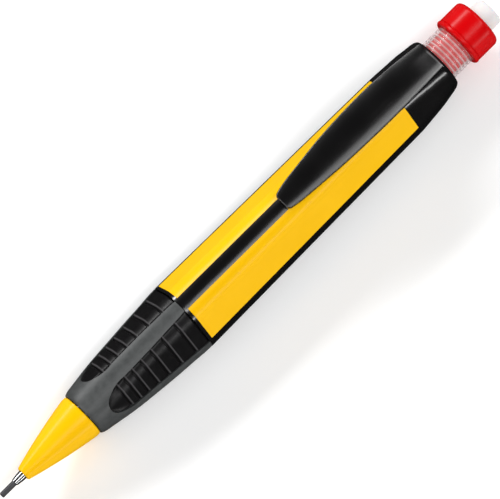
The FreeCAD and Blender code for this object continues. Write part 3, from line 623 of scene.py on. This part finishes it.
clear_tree.links.new(thread_rings.outputs["Fac"], thread_relief.inputs["Height"])
clear_tree.links.new(thread_relief.outputs["Normal"], clear_shader.inputs["Normal"])
# the crests of the moulded thread are frosted, and hold back more of what lies behind them
crest = clear_tree.nodes.new("ShaderNodeMapRange")
crest.interpolation_type = "SMOOTHSTEP"
crest.inputs["From Min"].default_value = 0.55
crest.inputs["From Max"].default_value = 0.95
frost = clear_tree.nodes.new("ShaderNodeMath")
frost.operation = "MULTIPLY_ADD"
frost.inputs[1].default_value = 0.3
cover = clear_tree.nodes.new("ShaderNodeMath")
cover.operation = "MULTIPLY_ADD"
cover.inputs[1].default_value = 0.35
cover.inputs[2].default_value = 0.15
clear_tree.links.new(thread_rings.outputs["Fac"], crest.inputs["Value"])
clear_tree.links.new(crest.outputs[0], frost.inputs[0])
clear_tree.links.new(clear_grain.outputs["Roughness"], frost.inputs[2])
clear_tree.links.new(frost.outputs[0], clear_shader.inputs["Roughness"])
clear_tree.links.new(crest.outputs[0], cover.inputs[0])
clear_tree.links.new(cover.outputs[0], clear_shader.inputs["Alpha"])
finish_in(clear_plastic, "eraser_tube")

# Twist cap: red polypropylene, one moulding with the slotted sleeve that shows through the clear tube.
# Turning it feeds the eraser, and pressing it feeds the lead.
red_plastic = grained("red_plastic", (0.55, 0.0005, 0.0015), (0.66, 0.001, 0.003), 1400, (1, 1, 1),
                      (0.22, 0.3), 0.05, 0.00002, marks=0.4, specular_ior_level=0.16)
finish_in(red_plastic, "twist_cap")

# Eraser: white vinyl, cut from an extruded stick and rounded at its end.
# It is bored from the front, and pushed onto the carrier's pin.
eraser_vinyl = grained("eraser_vinyl", (0.74, 0.74, 0.74), (0.8, 0.8, 0.795), 3500, (1, 1, 1),
                       (0.6, 0.75), 0.25, 0.00004, subsurface_weight=0.15, subsurface_scale=0.0008)
finish_in(eraser_vinyl, "eraser")

# Floor: a plain pale paper sheet, a hair under the pencil.
# It reaches far past the picture.
low, high = (Vector(corner) for corner in cad_bounds)
middle = (low + high) / 2
floor_half = 3.0
floor_gap = 0.0002
floor_mesh = bpy.data.meshes.new("floor")
floor_mesh.from_pydata(
    [(-floor_half, -floor_half, 0), (floor_half, -floor_half, 0),
     (floor_half, floor_half, 0), (-floor_half, floor_half, 0)], [], [(0, 1, 2, 3)])
floor = bpy.data.objects.new("floor", floor_mesh)
bpy.context.collection.objects.link(floor)
floor.location.z = low.z - floor_gap
paper = grained("paper", (0.88, 0.88, 0.88), (0.92, 0.92, 0.92), 90, (1, 1, 1), (0.7, 0.8), 0.02, 0.0001,
                specular_ior_level=0.05)
# in a gloss reflection the sheet is painted nearly black, a painted darkening of its reflection in the
# pencil's gloss
paper_tree = paper.node_tree
ray = paper_tree.nodes.new("ShaderNodeLightPath")
dimmed = paper_tree.nodes.new("ShaderNodeMix")
dimmed.data_type = "RGBA"
dimmed.inputs["B"].default_value = (0.02, 0.02, 0.02, 1)
paper_shader = paper_tree.nodes["Principled BSDF"]
paper_shade = paper_shader.inputs["Base Color"].links[0].from_socket
paper_tree.links.new(paper_shade, dimmed.inputs["A"])
# painted reflection: only rays from gloss, not from glass, see the sheet darkened
mirrored = paper_tree.nodes.new("ShaderNodeMath")
mirrored.operation = "SUBTRACT"
mirrored.use_clamp = True
paper_tree.links.new(ray.outputs["Is Glossy Ray"], mirrored.inputs[0])
paper_tree.links.new(ray.outputs["Is Transmission Ray"], mirrored.inputs[1])
paper_tree.links.new(mirrored.outputs[0], dimmed.inputs["Factor"])
paper_tree.links.new(dimmed.outputs["Result"], paper_shader.inputs["Base Color"])
paper_tree.links.new(dimmed.outputs["Result"], paper_shader.inputs["Emission Color"])
paper_shader.inputs["Emission Strength"].default_value = 0.15
floor_mesh.materials.append(paper)

# Studio: a dim even surround with soft boxes. Two strips in front, one dimmer than the other, fade up the
# gloss on the clip's lower side.
world = bpy.data.worlds.new("studio")
bpy.context.scene.world = world
world.use_nodes = True
surround = world.node_tree.nodes["Background"]
surround.inputs["Color"].default_value = (1, 1, 1, 1)
# the backdrop itself looks pale, but gives little light
seen = world.node_tree.nodes.new("ShaderNodeLightPath")
backdrop = world.node_tree.nodes.new("ShaderNodeMapRange")
backdrop.inputs["To Min"].default_value = 0.035
backdrop.inputs["To Max"].default_value = 0.95
world.node_tree.links.new(seen.outputs["Is Camera Ray"], backdrop.inputs["Value"])
world.node_tree.links.new(backdrop.outputs[0], surround.inputs["Strength"])
bpy.context.scene.view_settings.view_transform = "Standard"


def soft_box(name, around, along, distance, size, watts):
    """An area light aimed at the pencil. around is its angle about the axis from straight up, to the +Y side;
    along leans it towards the eraser."""
    data = bpy.data.lights.new(name, "AREA")
    data.shape = "RECTANGLE"
    data.size, data.size_y = size
    data.energy = watts
    box = bpy.data.objects.new(name, data)
    bpy.context.collection.objects.link(box)
    turn, lean = math.radians(around), math.radians(along)
    out = Vector((math.sin(lean), math.cos(lean) * math.sin(turn), math.cos(lean) * math.cos(turn)))
    box.location = middle + out * distance
    across = Vector((1, 0, 0)) - out * out.x
    across.normalize()
    side = out.cross(across)
    box.matrix_world = Matrix((across, side, out)).transposed().to_4x4()
    box.matrix_world.translation = middle + out * distance
    return box


soft_box("key_box", 56, 4, 0.9, (1.2, 0.16), 8.6)
for around, watts in ((-25, 4.2), (-15, 1.4)):
    soft_box("front_strip", around, 10, 0.9, (1.6, 0.16), watts)
soft_box("low_box", -76, 0, 0.8, (1.0, 0.1), 2.2)
soft_box("tip_box", 4, -50, 0.9, (0.3, 0.8), 2.2)
soft_box("rear_box", -6, 52, 0.9, (0.2, 0.8), 1.2)

# Camera: a long lens over the ridge, leaning a little to the -Y side and to the tip, with the pencil
# running from the lower left to the upper right of the picture.
tilt_side = math.radians(11.9)
tilt_tip = math.radians(6.8)
roll = math.radians(44.84)
reach = 1.5
view_width = 0.1066
sensor = 36
toward = Vector((-math.sin(tilt_tip), -math.cos(tilt_tip) * math.sin(tilt_side),
                 math.cos(tilt_tip) * math.cos(tilt_side)))
along_axis = (Vector((1, 0, 0)) - toward * toward.x).normalized()
over_axis = toward.cross(along_axis)
right = math.cos(roll) * along_axis - math.sin(roll) * over_axis
upward = math.sin(roll) * along_axis + math.cos(roll) * over_axis
axis_height = (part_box("eraser")[0][2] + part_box("eraser")[1][2]) / 2
target = Vector((0.0007, 0, axis_height)) - over_axis * 0.00013
camera_data = bpy.data.cameras.new("camera")
camera_data.sensor_width = sensor
camera_data.lens = sensor * reach / view_width
camera_data.clip_end = 20
camera = bpy.data.objects.new("camera", camera_data)
bpy.context.collection.objects.link(camera)
camera.matrix_world = Matrix((right, upward, toward)).transposed().to_4x4()
camera.matrix_world.translation = target + toward * reach
bpy.context.scene.camera = camera
